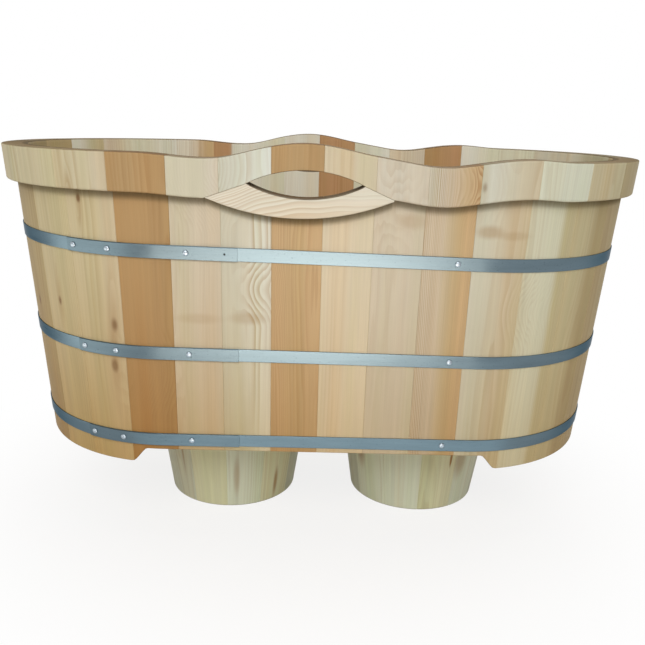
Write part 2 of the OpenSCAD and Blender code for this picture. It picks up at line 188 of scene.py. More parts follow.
def shelter(x):
    """The lowest edge that stands proud of the wall: the lip's where it is, and the band's elsewhere."""
    return np.where(np.abs(x - LIP_X) < LIP_HALF, np.minimum(lip_low(x), rim_under(x)), rim_under(x))


def foot(x):
    """The arch: a ramp from 0 to the arch's height, averaged over a short run so that it bends softly."""
    runs = np.linspace(-ARCH_SOFT, ARCH_SOFT, 9)
    ramp = [np.clip((ARCH_HALF + ARCH_RUN - np.abs(x + d)) / ARCH_RUN, 0, 1) for d in runs]
    return ARCH_RISE * np.mean(ramp, axis=0)


def level(z):
    """A rule that gives one height everywhere."""
    return lambda x: z + 0 * x


# ---- Meshes ----


def grid_faces(columns, stations, first=0, wrap=False):
    """Quads between neighbouring columns and stations. Stations form a loop, and columns do if wrapped."""
    i = np.arange(columns if wrap else columns - 1)[:, None]
    j = np.arange(stations)[None, :]
    a, b = i * stations, (i + 1) % columns * stations
    k = (j + 1) % stations
    return (np.stack([a + j, b + j, b + k, a + k], -1).reshape(-1, 4) + first).tolist()


def cap_faces(columns, stations, first=0):
    """The loops of the first and last column as one face each, facing away from the grid."""
    ring = np.arange(stations) + first
    return [ring.tolist(), (ring[::-1] + (columns - 1) * stations).tolist()]


def make_piece(name, points, faces, values=None, sharp=35):
    """One mesh object from points and faces, with its named values stored on the points."""
    mesh = bpy.data.meshes.new(name)
    mesh.from_pydata(points.tolist(), [], faces)
    for key, value in (values or {}).items():
        value = np.asarray(value, np.float32)
        kind, slot = ("FLOAT_VECTOR", "vector") if value.ndim > 1 else ("FLOAT", "value")
        mesh.attributes.new(key, kind, "POINT").data.foreach_set(slot, value.ravel())
    mesh.validate()
    mesh.polygons.foreach_set("use_smooth", [True] * len(mesh.polygons))
    mesh.set_sharp_from_angle(angle=math.radians(sharp))
    mesh.update()
    piece = bpy.data.objects.new(name, mesh)
    bpy.context.scene.collection.objects.link(piece)
    return piece


def finish_piece(piece, body, slot, material, *nodes):
    """Gives a piece its finish, sets it on its body, and lets it stand for the nodes it takes over."""
    piece.data.materials.append(material)
    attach(piece, body)
    if nodes:
        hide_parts(*nodes)


def finish_node(name, material):
    """Gives its finish to a piece that is shown as it comes."""
    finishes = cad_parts[name].data.materials
    finishes.clear()
    finishes.append(material)


class Section:
    """A closed outline across the wall, as stations in order.

    Each station is a distance out from the wall's outside face, a rule for its height, a height to add, the
    way it gives at an eased edge, how far it is a cut across the grain (below zero: how much painted shade it
    has in a crease), and whether its out is a radius.
    """

    def __init__(self):
        self.stations = []

    def point(self, out, rule, add=0.0, give=(0, 0), cut=0.0, upright=False):
        """Adds one station."""
        self.stations.append((out, rule, add, give, cut, upright))

    def corner(self, out, rule, radius, solid, to_flat, cut, steps=4):
        """A quarter round at a corner, with a station on either side that holds the face beyond it flat.

        solid says which way the wood lies, in out and in height. to_flat starts at the upright face.
        """
        turns = np.linspace(0, math.pi / 2, steps + 1)
        places = [(1 - math.cos(t), 1 - math.sin(t), math.cos(t), math.sin(t)) for t in turns]
        places = [(0, 1 + HOLD, 1, 0), *places, (1 + HOLD, 0, 0, 1)]
        for across, rise, give_out, give_up in places if to_flat else places[::-1]:
            self.point(
                out + solid[0] * radius * across,
                rule,
                solid[1] * radius * rise,
                (solid[0] * give_out, solid[1] * give_up),
                cut * give_up**3,
            )

    def skin(self, us, ease):
        """Carries the outline along the places us, each eased into the wood by its own amount.

        Height and x depend on each other through the lean, so a few rounds settle them. Gives the points,
        how far out each stands, its height, and its cut.
        """

        def spread(k):
            return np.stack([np.broadcast_to(s[k], us.shape) for s in self.stations], 1)

        give = np.array([s[3] for s in self.stations])
        out = spread(0) + ease[:, None] * give[None, :, 0]
        add = spread(2) + ease[:, None] * give[None, :, 1]
        upright = np.array([s[5] for s in self.stations])[None, :]
        z = np.full(out.shape, HEIGHT)
        for _ in range(5):
            r = np.where(upright, out, face_r(z) + out)
            x, y = around(us[:, None], r)
            z = np.stack([s[1](x[:, j]) for j, s in enumerate(self.stations)], 1) + add
        points = np.stack([x, y, z + FOOT_Z], -1)
        return points, r - face_r(z), z, spread(4)


def columns(u0, u1, depth, kinks=(), ease=(True, True), step=0.005, width=0.0006):
    """Places from u0 to u1 with the kinks among them, and how far each column is eased into the wood."""
    inner0, inner1 = u0 + width * ease[0], u1 - width * ease[1]
    count = max(3, round((u1 - u0) / step))
    us = np.concatenate([[u0, u1, inner0, inner1], np.linspace(inner0, inner1, count)])
    us = np.unique(np.round(np.concatenate([us, [k for k in kinks if inner0 < k < inner1]]), 7))
    amount = np.zeros(len(us))
    amount[0], amount[-1] = depth * ease[0], depth * ease[1]
    return us, amount


class Shell:
    """Gathers closed skins that make up one piece."""

    def __init__(self):
        self.points, self.faces, self.values, self.count = [], [], {}, 0

    def add(self, points, faces, values):
        """Adds a skin whose faces already count from the points that are there."""
        self.points.append(points.reshape(-1, 3))
        self.faces += faces
        for key, value in values.items():
            self.values.setdefault(key, []).append(value)
        self.count += len(self.points[-1])

    def grid(self, points, values, wrap=False):
        """Adds a grid of columns and stations with its values, wrapped round or else capped at its ends."""
        size = points.shape[:2]
        faces = grid_faces(*size, self.count, wrap) + ([] if wrap else cap_faces(*size, self.count))
        self.add(points, faces, {key: value.reshape(-1, *value.shape[2:]) for key, value in values.items()})

    def piece(self, name):
        """Makes one mesh object of all the skins."""
        values = {key: np.concatenate(value) for key, value in self.values.items()}
        return make_piece(name, np.concatenate(self.points), self.faces, values)


def turned(profile, steps, first=0):
    """A profile of radius and height turned about the axis. Where the radius is 0 the ring is one point."""
    turn = np.linspace(0, 2 * math.pi, steps, endpoint=False)
    points, rings, count = [], [], first
    for r, z in profile:
        if r < 1e-7:
            points.append([[0, 0, z]])
            rings.append(np.full(steps, count))
            count += 1
        else:
            points.append(np.stack([r * np.cos(turn), r * np.sin(turn), np.full(steps, z)], 1))
            rings.append(np.arange(steps) + count)
            count += steps
    faces = []
    for low, high in zip(rings[:-1], rings[1:]):
        quads = np.stack([low, np.roll(low, -1), np.roll(high, -1), high], 1)
        faces += [list(dict.fromkeys(q)) for q in quads.tolist()]
    return np.concatenate(points), [q for q in faces if len(q) > 2]


def rounded(points, radius, steps=3):
    """An open profile with each inner corner rounded.

    The points lie on the circle that touches both sides. One more on either side holds the face flat.
    """
    points = np.asarray(points, float)
    made = [points[0]]
    for before, here, after in zip(points[:-2], points[1:-1], points[2:]):
        a, b = before - here, after - here
        la, lb = np.linalg.norm(a), np.linalg.norm(b)
        a, b = a / la, b / lb
        half = math.acos(np.clip(a @ b, -1, 1)) / 2
        cut = min(radius / math.tan(half), la * 0.3, lb * 0.3)
        r = cut * math.tan(half)
        centre = here + (a + b) / np.linalg.norm(a + b) * math.hypot(cut, r)
        start, end = here + a * cut - centre, here + b * cut - centre
        made.append(here + a * cut * (1 + HOLD))
        for t in np.linspace(0, 1, steps + 1):
            way = start * (1 - t) + end * t
            made.append(centre + way / np.linalg.norm(way) * r)
        made.append(here + b * cut * (1 + HOLD))
    return np.array(made + [points[-1]])


# ---- Finishes ----


class Num:
    """A number that varies over a surface. It wraps a socket, and sums on it add Math nodes."""

    def __init__(self, finish, socket):
        self.finish, self.socket = finish, socket

    def __add__(self, other):
        return self.finish.math("ADD", self, other)

    def __sub__(self, other):
        return self.finish.math("SUBTRACT", self, other)

    def __rsub__(self, other):
        return self.finish.math("SUBTRACT", other, self)

    def __mul__(self, other):
        return self.finish.math("MULTIPLY", self, other)

    def __truediv__(self, other):
        return self.finish.math("DIVIDE", self, other)

    def __rtruediv__(self, other):
        return self.finish.math("DIVIDE", other, self)

    __radd__, __rmul__ = __add__, __mul__

    def step(self, low, high):
        """Rises smoothly from 0 at low to 1 at high."""
        sockets = {"Value": self, "From Min": low, "From Max": high}
        made = self.finish.node("ShaderNodeMapRange", sockets, interpolation_type="SMOOTHSTEP")
        return Num(self.finish, made.outputs[0])


class Nodes:
    """Adds nodes to a material's or the world's tree, which starts out empty."""

    def __init__(self, owner):
        owner.use_nodes = True
        self.tree = owner.node_tree
        self.tree.nodes.clear()

    def node(self, kind, sockets, **settings):
        """Adds a node with the values or links of its sockets, and with its settings."""
        made = self.tree.nodes.new(kind)
        for key, value in settings.items():
            setattr(made, key, value)
        for key, value in sockets.items():
            value = getattr(value, "socket", value)
            if isinstance(value, bpy.types.NodeSocket):
                self.tree.links.new(value, made.inputs[key])
            else:
                made.inputs[key].default_value = value
        return made

    def math(self, operation, *terms):
        made = self.node("ShaderNodeMath", dict(enumerate(terms)), operation=operation)
        return Num(self, made.outputs[0])

    def vector(self, operation, *terms):
        return self.node("ShaderNodeVectorMath", dict(enumerate(terms)), operation=operation).outputs[0]

    def distance(self, place, centre, stretch=(1, 1, 1)):
        """How far a place is from a centre, once each axis is stretched."""
        apart = self.vector("MULTIPLY", self.vector("SUBTRACT", place, centre), stretch)
        made = self.node("ShaderNodeVectorMath", {0: apart}, operation="LENGTH")
        return Num(self, made.outputs["Value"])

    def axes(self, vector):
        made = self.node("ShaderNodeSeparateXYZ", {0: vector})
        return [Num(self, socket) for socket in made.outputs]

    def noise(self, vector, scale, detail, rough=0.5):
        """Noise from 0 to 1 on coordinates stretched by scale on each axis."""
        spread = self.vector("MULTIPLY", vector, scale)
        sockets = {"Vector": spread, "Scale": 1.0, "Detail": detail, "Roughness": rough}
        return Num(self, self.node("ShaderNodeTexNoise", sockets).outputs[0])

    def mix(self, factor, a, b, blend="MIX"):
        sockets = {0: factor, 6: a, 7: b}
        made = self.node("ShaderNodeMix", sockets, data_type="RGBA", blend_type=blend, clamp_factor=True)
        return made.outputs[2]

    def tinted(self, colour, tone, factor):
        """A colour multiplied by a tone, as far as the factor says."""
        return self.mix(factor, colour, rgba(tone), "MULTIPLY")

    def scaled(self, colour, factor):
        """A colour made lighter or darker by a factor."""
        colour = colour if isinstance(colour, bpy.types.NodeSocket) else tuple(colour)[:3]
        return self.node("ShaderNodeVectorMath", {0: colour, 3: factor}, operation="SCALE").outputs[0]

    def stored(self, name):
        """A value that is stored on the points, as a vector and as a number."""
        made = self.node("ShaderNodeAttribute", {}, attribute_name=name)
        return made.outputs["Vector"], Num(self, made.outputs["Fac"])

    def object_place(self):
        return self.node("ShaderNodeTexCoord", {}).outputs["Object"]

    def lit_and_seen(self, output, lit, seen, share):
        """One shader gives the light. The camera, gloss and clear things see a share of another."""
        rays = self.node("ShaderNodeLightPath", {}).outputs
        direct = self.math("MAXIMUM", rays["Is Camera Ray"], rays["Is Glossy Ray"])
        direct = self.math("MAXIMUM", direct, rays["Is Transmission Ray"])
        sockets = {0: direct * share, 1: lit.outputs[0], 2: seen.outputs[0]}
        self.node(output, {0: self.node("ShaderNodeMixShader", sockets).outputs[0]})


class Finish(Nodes):
    """A procedural material whose varying values are wired into one Principled shader."""

    def __init__(self, name):
        self.material = bpy.data.materials.new(name)
        super().__init__(self.material)

    def surface(self, bumps, bump_depth, **sockets):
        """The Principled shader. Socket names are given with underscores."""
        sockets = {key.replace("_", " "): value for key, value in sockets.items()}
        lift = self.node("ShaderNodeBump", {"Strength": 1.0, "Distance": bump_depth, "Height": bumps})
        sockets["Normal"] = lift.outputs[0]
        shader = self.node("ShaderNodeBsdfPrincipled", sockets)
        self.node("ShaderNodeOutputMaterial", {0: shader.outputs[0]})
        return self.material


def rgba(colour):
    """A colour with full cover, as a socket takes it."""
    return (*colour, 1.0)


def wood(f, grain, tone, figure, cut, crease_shade, colours, place=None):
    """Planed softwood on board coordinates: across, depth and along, measured from the pith.

    Year rings are the distance from the pith, bent by slow noise. Fibres, streaks and clouds change the
    tone. Cuts across the grain are dark. Creases get dark painted shade, and the feet get warm painted shade.
    """
    across, depth, _ = f.axes(grain)
    strength, spacing, streaks = f.axes(figure)
    drift = f.noise(grain, (6, 6, 1.3), 1.0)
    wobble = f.noise(grain, (28, 28, 5), 1.0)
    uneven = f.noise(grain, (85, 85, 1.1), 1.0)
    radius = f.math("SQRT", across * across + depth * depth)
    radius = radius + (drift - 0.5) * 0.034 + (wobble - 0.5) * 0.0045 + (uneven - 0.5) * 0.0060
    core, halo = 0.0, 0.0
    if place is not None:
        for u, z, size, dark in KNOTS:
            gap = f.distance(place, (u, z, 1.0), (1.0, 0.5, 3.0)) + (wobble - 0.5) * size
            tail = f.distance(place, (u, z, 1.0), (1.0, 0.13, 3.0)) + (wobble - 0.5) * size
            core = (1 - gap.step(size * 0.25, size)) * dark + core
            halo = (1 - tail.step(size * 0.2, size * 1.8)) * dark + halo
        radius = radius + halo * 0.006
        for u, z, reach, bend in SWIRLS:
            apart = f.distance(place, (u, z, 1.0), (1.0, 0.8, 3.0))
            radius = radius + (1 - apart.step(0.0, reach)) * bend
    ring = f.math("FRACT", radius / spacing)
    line = ring.step(0.15, 0.90) * (1 - ring.step(0.92, 1.0))
    late = line * strength * (0.15 + f.noise(grain, (24, 24, 1.0), 2.0).step(0.35, 0.68) * 1.1)
    fibre = f.noise(grain, (560, 560, 10), 2.0, 0.6)
    streak = f.noise(grain, (95, 95, 1.5), 3.0, 0.6)
    cloud = f.noise(grain, (12, 12, 3.5), 2.0)
    warmth = f.noise(grain, (26, 26, 0.9), 1.0)
    colour = f.tinted(tone, colours.blush, warmth.step(0.45, 0.80) * 0.7)
    colour = f.tinted(colour, colours.sap, (1 - warmth.step(0.20, 0.55)) * 0.7)
    colour = f.scaled(colour, 1.03 + (streak - 0.5) * streaks + (cloud - 0.5) * 0.20 + (fibre - 0.5) * 0.16)
    colour = f.tinted(colour, colours.late, late)
    if place is not None:
        along_wall, height, _ = f.axes(place)
        # Painted shade: the staves darken and warm toward their feet, less so toward the right end
        low = (1.1 - height.step(-0.10, 0.46)) * (1 - along_wall.step(-0.34, 0.22) * 0.45) - 0.06
        colour = f.tinted(colour, colours.foot, low)
        colour = f.mix(halo * 0.45, colour, rgba(colours.halo))
        colour = f.mix(core, colour, rgba(colours.knot))
        # Stains, and two patches of painted shade on the right pedestal
        for u, z, half_u, half_z, dark, side in STAINS:
            apart = f.distance(place, (u, z, side), (1 / half_u, 1 / half_z, 6.0))
            spot = (1 - apart.step(0.3, 1.2)) * dark * (0.5 + cloud)
            colour = f.mix(spot, colour, rgba(colours.halo))
    ends = f.noise(grain, (300, 300, 60), 1.0)
    colour = f.tinted(colour, colours.end, cut * 1.1)
    colour = f.mix(cut * cut * (0.16 + ends * 0.24 + line * 0.36), colour, rgba(colours.cut))
    # Painted shade in the crease under the band and the lip, a little uneven
    colour = f.mix(crease_shade * (0.82 + ends * 0.3), colour, rgba(colours.crease_shade))
    rough = 0.58 + (fibre - 0.5) * 0.14 + late * 0.05 + (cut + crease_shade) * 0.38
    lift = fibre * 0.35 - late * 0.8 + ends * cut
    return f.surface(lift, 0.00018, Base_Color=colour, Roughness=rough, Specular_IOR_Level=0.25)


def board_wood(name, colours):
    """Wood for pieces that carry their board coordinates, tone and figure on their points.

    Their cut is above zero across the grain. Below zero it is painted shade in a crease.
    """
    f = Finish(name)
    grain, tone, figure, place = (f.stored(key)[0] for key in ("plank", "tone", "figure", "place"))
    either = f.stored("cut")[1]
    cut, crease_shade = f.math("MAXIMUM", either, 0.0), f.math("MAXIMUM", either * -1.0, 0.0)
    return wood(f, grain, tone, figure, cut, crease_shade, colours, place)


def plain_wood(name, colours, tone, pith, turn, rows=None):
    """Wood on Object coordinates, turned to run along the piece. rows gives its boards' width and start."""
    f = Finish(name)
    here = f.object_place()
    grain = f.node("ShaderNodeMapping", {"Vector": here, "Location": pith, "Rotation": turn}).outputs[0]
    colour, edge = rgba(tone), 0.0
    if rows:
        width, low = rows
        y = f.axes(here)[1]
        board = (y - low) / width
        number = f.math("FLOOR", board) + 0.5
        pick = f.node("ShaderNodeTexWhiteNoise", {"W": number}, noise_dimensions="1D")
        grain = f.vector("ADD", grain, f.vector("MULTIPLY", pick.outputs["Color"], (0.08, 0.0, 3.0)))
        colour = f.scaled(colour, 0.90 + Num(f, pick.outputs["Value"]) * 0.2)
        off_joint = f.math("ABSOLUTE", f.math("FRACT", board + 0.5) - 0.5) * width
        edge = (1 - off_joint.step(0.0004, 0.0014)) * 0.7
    figure = f.node("ShaderNodeCombineXYZ", {0: 0.3, 1: 0.0042, 2: 0.22}).outputs[0]
    return wood(f, grain, colour, figure, edge, 0.0, colours)


def brushed(name, tone, rough, stretch, stored=None, hole=None, pits=0.0, edge=None):
    """Satin steel: fine lines along the strip, cloudy changes of tone and gloss, and small pits.

    An upper layer is duller, and a hole is a dark dot of painted shade.
    """
    f = Finish(name)
    where = f.stored(stored)[0] if stored else f.object_place()
    lines = f.noise(where, stretch, 3.0, 0.65)
    cloud = f.noise(where, (9, 60, 9), 3.0, 0.6)
    wide = f.noise(where, (2.2, 2.2, 2.2), 1.0)
    specks = f.noise(where, (320, 320, 320), 1.0).step(0.66, 0.76)
    layer = f.axes(where)[2].step(0.4 * UPPER_LAYER, 0.6 * UPPER_LAYER) if stored else 0.0
    shade = 1.0 + (lines - 0.5) * 0.25 + (cloud - 0.5) * 0.40 + (wide - 0.5) * 0.3
    colour = f.scaled(rgba(tone), shade - specks * pits - layer * 0.14)
    gloss = rough + (lines - 0.5) * 0.12 + (cloud - 0.5) * 0.14 + specks * 0.1
    if hole:
        # Painted shade: a near-black dot stands for the inside of an empty nail hole
        spot = 1 - f.distance(where, hole).step(0.0014, 0.0021)
        colour = f.mix(spot, colour, (0.02, 0.02, 0.02, 1))
        gloss = gloss + spot * 0.4
    sockets = {"Specular_Tint": rgba(edge)} if edge else {}
    lift = lines * 0.6 + cloud * 0.4
    return f.surface(lift, 0.00006, Base_Color=colour, Roughness=gloss, Metallic=1.0, **sockets)


def rubber(name, tone):
    """Matte black rubber with a fine mottle and dusty patches."""
    f = Finish(name)
    here = f.object_place()
    dust, mottle = f.noise(here, (40, 40, 40), 2.0), f.noise(here, (900, 900, 900), 1.0)
    colour = f.mix(dust.step(0.5, 0.8) * 0.4, rgba(tone), (0.10, 0.10, 0.095, 1))
    return f.surface(mottle, 0.00004, Base_Color=colour, Roughness=0.62 + dust * 0.2)


# Marks on the outside of the wall: place u, height, half width, darkness
KNOTS = (
    (-0.3395, 0.259, 0.0095, 0.72),
    (-0.346, 0.184, 0.0088, 0.66),
    (-0.383, 0.471, 0.0050, 0.85),
    (-0.452, 0.286, 0.0062, 0.75),
    (-0.536, 0.270, 0.0065, 0.8),
    (0.254, 0.509, 0.0070, 0.50),
)
# Places where the year rings bend round a branch that the board doesn't show: place u, height, reach, bend
SWIRLS = (
    (-0.176, 0.528, 0.090, 0.030),
    (-0.100, 0.330, 0.055, 0.016),
    (0.254, 0.509, 0.060, 0.014),
    (0.122, 0.470, 0.060, 0.014),
    (-0.290, 0.180, 0.080, 0.020),
    (0.352, 0.300, 0.060, 0.016),
)
# Faint stains, and on the right pedestal two patches of painted shade: place u, height, half length, half
# height, darkness, and the side. Side 1 is the wall's outside, 3 the left pedestal and 5 the right one. There
# u runs round from the front, and heights start at 2
STAINS = (
    (-0.200, 0.2765, 0.046, 0.011, 0.22, 1.0),
    (-0.118, 0.279, 0.036, 0.013, 0.30, 1.0),
    (0.147, 0.450, 0.030, 0.016, 0.28, 1.0),
    (0.272, 0.436, 0.024, 0.013, 0.42, 1.0),
    (0.310, 0.430, 0.030, 0.009, 0.25, 1.0),
    (-0.099, 2.13, 0.0040, 0.075, 0.60, 3.0),
    (0.020, 2.07, 0.0080, 0.050, 0.45, 3.0),
    (0.112, 2.04, 0.0060, 0.040, 0.80, 3.0),
    (0.062, 2.118, 0.0032, 0.024, 1.5, 5.0),
    # Painted shade: the right pedestal's right side, under the tub
    (0.088, 2.110, 0.0180, 0.050, 0.55, 5.0),
    # Painted shade: the right pedestal's left edge, under the tub
    (-0.135, 2.130, 0.0160, 0.060, 0.65, 5.0),
)


def tint(red, green, blue):
    """A colour given as it looks on screen, from 0 to 255, as the linear values that a shader takes."""
    parts = (red / 255, green / 255, blue / 255)
    return tuple(c / 12.92 if c <= 0.04045 else ((c + 0.055) / 1.055) ** 2.4 for c in parts)


def colour_of(name, description, *screen):
    return FloatVectorProperty(
        name=name, description=description, subtype="COLOR", size=3, min=0, max=1, default=tint(*screen)
    )


def length_of(name, description, default, high):
    return FloatProperty(
        name=name, description=description, default=default, min=0, max=high, unit="LENGTH", precision=4
    )


def power_of(name, description, default):
    return FloatProperty(name=name, description=description, default=default, min=0, unit="POWER")


class TubSizes(PropertyGroup):
    rim_round: length_of("Rim rounding", "Radius of the rim's top edges", 0.0018, 0.012)
    band_round: length_of("Band rounding", "Radius of the band's lower edge", 0.0032, 0.012)
    eye_round: length_of("Opening rounding", "Radius of the hand opening's edges", 0.0018, 0.006)
    lip_round: length_of("Lip rounding", "Radius of the lip's lower edge", 0.0022, 0.006)
    foot_round: length_of("Foot rounding", "Radius at the feet of the staves", 0.002, 0.006)
    seam: length_of("Seam", "Ease of the joint between lip and band", 0.0011, 0.002)
    joint_ease: length_of("Joint ease", "How far a stave's edges fall back at its joints", 0.0007, 0.002)
    hoop_edge: length_of("Hoop edge", "Radius of the hoop strip's edges", 0.0005, 0.0009)


class WoodColours(PropertyGroup):
    pale: colour_of("Pale", "Palest staves", 215, 213, 200)
    cream: colour_of("Cream", "Cream staves", 214, 200, 174)
    rose: colour_of("Rose", "Pinkish cream staves", 204, 192, 171)
    dove: colour_of("Dove", "Greyish cream staves", 202, 197, 178)
    # Moss and umber are dark tones that also paint the shade inside the tub's ends
    moss: colour_of("Moss", "Greenish grey staves", 182, 177, 150)
    umber: colour_of("Umber", "Dull brown staves", 154, 138, 100)
    ash: colour_of("Ash", "Greenish cream staves", 211, 209, 186)
    sand: colour_of("Sand", "Sandy staves", 202, 186, 156)
    straw: colour_of("Straw", "Yellowish staves", 199, 185, 150)
    olive: colour_of("Olive", "Greenish brown staves", 193, 182, 146)
    tan: colour_of("Tan", "Light brown staves", 174, 156, 116)
    honey: colour_of("Honey", "Honey brown staves", 174, 141, 96)
    amber: colour_of("Amber", "Orange brown staves", 195, 165, 124)
    russet: colour_of("Russet", "Reddish brown staves", 178, 138, 98)
    grey: colour_of("Grey", "Palest pedestal staves", 217, 221, 200)
    # Dull is partly the staves' own tone and partly painted shade on each pedestal's side staves
    dull: colour_of("Dull", "Greyish pedestal staves", 203, 206, 186)
    wheat: colour_of("Wheat", "Yellowish pedestal staves", 217, 215, 182)
    lip: colour_of("Lip", "The handle's lip", 224, 218, 203)
    late: colour_of("Late wood", "Multiplies the tone in the dark part of a year ring", 214, 188, 156)
    blush: colour_of("Blush", "Multiplies the tone in warm streaks", 253, 243, 228)
    sap: colour_of("Sap", "Multiplies the tone in greenish streaks", 246, 250, 236)
    # Also the colour of two patches of painted shade on the right pedestal
    halo: colour_of("Stain", "Round knots and in stains", 158, 120, 72)
    knot: colour_of("Knot", "Heart of a knot", 112, 76, 38)
    end: colour_of("End grain", "Multiplies the tone on cuts across the grain", 152, 134, 104)
    cut: colour_of("End rings", "Rings and edges of cuts across the grain", 82, 68, 42)
    # Painted shade in the crease under the band and the lip
    crease_shade: colour_of("Crease", "Under the band and the lip", 88, 76, 46)
    # Painted shade: multiplies the staves' tone, darker and warmer, toward their feet
    foot: colour_of("Foot", "Multiplies the tone toward the feet", 230, 206, 162)


class MetalColours(PropertyGroup):
    hoop: colour_of("Hoops", "Satin steel strip", 100, 116, 124)
    nail: colour_of("Nails", "Bright nail heads", 158, 168, 176)
    drain: colour_of("Drain", "Satin stainless steel", 196, 198, 200)
    stopper: colour_of("Stopper", "Polished stainless steel", 222, 222, 224)
    rubber: colour_of("Rubber", "Gaskets and the stopper's ring", 34, 34, 34)


class StageLook(PropertyGroup):
    floor: colour_of("Floor", "Plain pale floor", 236, 230, 220)
    key: power_of("Main lamp", "Power of the wide lamp in front", 46.0)
    top: power_of("Top lamp", "Power of the lamp above", 25.0)
    back: power_of("Back lamp", "Power of the lamp behind", 16.0)
    glint: power_of("Floor lamps", "Power of the lamps that the hoops mirror", 20.0)
    room: FloatProperty(name="Room", description="Strength of light from all round", default=0.43, min=0)


# For each stave: tone at its left and right edge, strength of its rings, pith across and behind, streaks
WALL = (
    ("cream", "cream", 0.14, 0.030, -0.09, 0.12), ("rose", "rose", 0.18, -0.010, -0.06, 0.12),
    ("rose", "amber", 0.70, 0.075, -0.03, 0.34), ("dove", "sand", 0.30, 0.012, -0.05, 0.20),
    ("ash", "olive", 0.16, -0.060, -0.07, 0.24), ("olive", "tan", 0.16, 0.020, -0.08, 0.26),
    ("tan", "tan", 0.20, -0.030, -0.06, 0.26), ("tan", "tan", 0.22, 0.040, -0.05, 0.2),
    # Staves 9 and 10 at the right end take moss, a dark tone that also paints the shade inside that end
    ("moss", "moss", 0.30, -0.012, -0.07, 0.2), ("moss", "dove", 0.25, 0.025, -0.06, 0.2),
    ("dove", "dove", 0.20, -0.050, -0.05, 0.2), ("ash", "ash", 0.20, 0.010, -0.08, 0.2),
    ("ash", "pale", 0.20, 0.045, -0.06, 0.2), ("russet", "honey", 0.35, -0.020, -0.05, 0.2),
    ("rose", "cream", 0.25, 0.030, -0.07, 0.2), ("pale", "ash", 0.20, -0.040, -0.06, 0.2),
    ("russet", "russet", 0.30, 0.015, -0.06, 0.2), ("pale", "pale", 0.20, 0.050, -0.05, 0.2),
    ("ash", "pale", 0.20, -0.015, -0.08, 0.2), ("pale", "russet", 0.30, 0.020, -0.05, 0.2),
    ("amber", "pale", 0.35, -0.005, -0.06, 0.2), ("pale", "ash", 0.25, 0.035, -0.07, 0.2),
    ("ash", "rose", 0.20, -0.025, -0.05, 0.2), ("olive", "pale", 0.25, 0.012, -0.06, 0.2),
    # Staves 26 and 27 at the left end take umber, a dark tone that also paints the shade inside that end
    ("tan", "tan", 0.20, -0.045, -0.07, 0.2), ("umber", "umber", 0.30, 0.030, -0.05, 0.2),
    ("umber", "tan", 0.25, -0.010, -0.06, 0.2), ("tan", "tan", 0.28, 0.050, -0.06, 0.30),
    ("straw", "straw", 0.22, -0.030, -0.07, 0.28), ("straw", "sand", 0.30, 0.020, -0.08, 0.26),
    ("honey", "honey", 0.22, 0.045, -0.05, 0.24), ("rose", "rose", 0.12, -0.035, -0.07, 0.12),
    ("dove", "pale", 0.58, -0.005, -0.05, 0.14), ("amber", "amber", 0.24, 0.035, -0.06, 0.24),
)
# Tones of the pedestals' staves, anticlockwise from the right
# The seventh and last staves, at each pedestal's sides, take dull, which also paints the shade there
PEDESTAL_TONES = {
    "left": "dull grey wheat dull grey dull dull dull wheat grey wheat dull".split(),
    "right": "dull wheat grey dull wheat grey dull grey grey wheat grey dull".split(),
}
# Where a stave's tone changes: share of its width, and half the run of the change. The others change softly
TURNS = {4: (0.72, 0.07), 5: (0.58, 0.16), 19: (0.5, 0.05)}
SOFT_TURN = (0.5, 0.35)
# Distance between year rings, and the turns that lay the grain along the tub and across it
RING_STEP = 0.0036
LENGTHWISE, CROSSWISE = (0, math.pi / 2, 0), (math.pi / 2, 0, 0)
# Painted shade in the crease under the band: distance below it, and darkness
CREASE_SHADE = ((0.016, 0.0), (0.0125, 0.18), (0.010, 0.38), (0.007, 0.52), (0.0004, 0.72))
# Staves whose proud band was cut from wood of another tone
BAND_TONES = {0: "sand", 4: "ash", 5: "straw", 26: "tan", 27: "straw", 33: "honey"}


def spread_over(shape, *parts):
    """Three values over a grid as one, each of them whole, one for a column, or one for a point."""
    return np.stack([np.broadcast_to(part, shape) for part in parts], -1)


def stave_values(index, us, out, z, cut, colours):
    """Board coordinates from the pith, tone, figure, cut across the grain, and place on the wall."""
    left, right, strength, across, depth, streaks = WALL[index]
    turn_at, run = TURNS.get(index, SOFT_TURN)
    u0 = JOINT_SHIFT + index * PITCH
    share = (us - u0) / PITCH
    blend = np.clip((share - turn_at) / (2 * run) + 0.5, 0, 1)[:, None, None]
    blend = blend**2 * (3 - 2 * blend)
    tone = np.array(getattr(colours, left)) * (1 - blend) + np.array(getattr(colours, right)) * blend
    on_band = np.clip((out - 0.002) / 0.004, 0, 1)[..., None]
    if index in BAND_TONES:
        tone = tone * (1 - on_band) + np.array(getattr(colours, BAND_TONES[index])) * on_band
    # Painted light: the proud band is made lighter and cooler, as under cool light from above
    tone = tone * (1 + on_band * np.array((0.0, 0.05, 0.12)))
    wide = (us - u0 - PITCH / 2)[:, None]
    spacing = RING_STEP + 0.0010 * math.sin(index * 2.4)
    turn = (np.mod(us + GIRTH / 2, GIRTH) - GIRTH / 2)[:, None]
    return {
        "plank": spread_over(z.shape, wide - across, out - depth, z + 2.3 * index),
        "tone": np.broadcast_to(tone, (*z.shape, 3)),
        "figure": spread_over(z.shape, strength, spacing, streaks),
        "cut": cut,
        "place": spread_over(z.shape, turn, z, (out > -0.002) * 1.0),
    }


